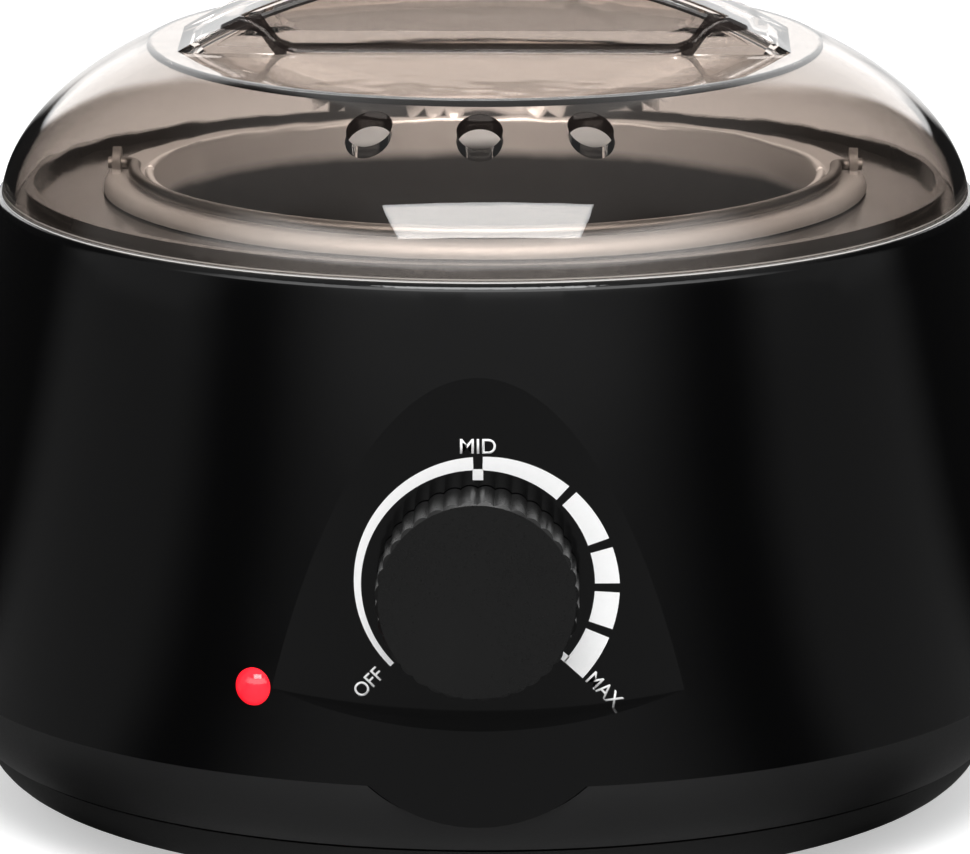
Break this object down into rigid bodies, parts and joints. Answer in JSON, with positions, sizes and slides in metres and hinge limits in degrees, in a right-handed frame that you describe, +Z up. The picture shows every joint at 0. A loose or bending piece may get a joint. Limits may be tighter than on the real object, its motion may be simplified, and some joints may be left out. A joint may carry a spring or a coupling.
{
  "type": "electric wax melter",
  "caption": "Round electric wax melter with a smoked domed lid, a lift-out pot with a wire bail, a front dial and a red lamp.",
  "frame": {"origin": "on the table under the middle of the pot, level with the soles of the feet", "axes": "+Z up along the pot's axis; -Y to the front, where the dial is; +X to the right seen from the front"},
  "size_m": [0.18, 0.1894, 0.1391],
  "materials": {
    "housing_gloss_black": "gloss moulded black",
    "base_satin_grey": "satin dark grey",
    "cover_matte_black": "fine texture",
    "foot_rubber": "matte",
    "screw_steel": "zinc plated",
    "bush_nylon": "satin",
    "deck_black": "gloss",
    "well_aluminium": "spun",
    "heater_mica": "mica band in a steel sheath",
    "fuse_ceramic": "cream body",
    "thermostat_phenolic": "brown phenolic",
    "shaft_steel": "turned",
    "nut_brass": "plain",
    "knob_satin_black": "satin",
    "lens_red": "clear red",
    "lamp_glass": "clear",
    "terminal_nylon": "natural",
    "pot_aluminium": "spun, dark lining inside",
    "bail_steel": "drawn wire",
    "lid_smoked_clear": "smoked clear"
  },
  "bodies": {
    "base": {"housing": "housing_gloss_black", "base_ring": "base_satin_grey", "bottom_cover": "cover_matte_black", "rubber_feet": "foot_rubber", "base_screws": "screw_steel", "cord_bush": "bush_nylon", "deck_ring": "deck_black", "well": "well_aluminium", "well_screws": "screw_steel", "heater_band": "heater_mica", "band_clamp": "screw_steel", "clamp_bolt": "screw_steel", "clamp_nut": "screw_steel", "thermal_fuse": "fuse_ceramic", "fuse_clip": "screw_steel", "thermostat_body": "thermostat_phenolic", "thermostat_nut": "nut_brass", "indicator_lens": "lens_red", "indicator_lamp": "lamp_glass", "indicator_nut": "screw_steel", "terminal_block": "terminal_nylon", "terminal_screws": "nut_brass"},
    "dial": {"knob": "knob_satin_black", "thermostat_shaft": "shaft_steel"},
    "pot": {"pot": "pot_aluminium"},
    "bail": {"bail": "bail_steel"},
    "lid": {"lid": "lid_smoked_clear"}
  },
  "joints": [
    {"name": "knob_turn", "type": "hinge", "parent": "base", "child": "dial", "pos_m": [0, -0.0833, 0.0533], "axis": [0, -1, 0], "range_deg": [-134, 134]},
    {"name": "lid_lift", "type": "slide", "parent": "base", "child": "lid", "axis": [0, 0, 1], "range_m": [0, 0.12]},
    {"name": "pot_lift", "type": "slide", "parent": "base", "child": "pot", "axis": [0, 0, 1], "range_m": [0, 0.06]},
    {"name": "bail_fold", "type": "hinge", "parent": "pot", "child": "bail", "pos_m": [0, 0, 0.1045], "axis": [-1, 0, 0], "range_deg": [0, 90]}
  ],
  "couplings": [
    {"joint": "pot_lift", "follows": "lid_lift", "ratio": 0.5},
    {"joint": "bail_fold", "follows": "lid_lift", "rad_per_m": 13.09}
  ]
}
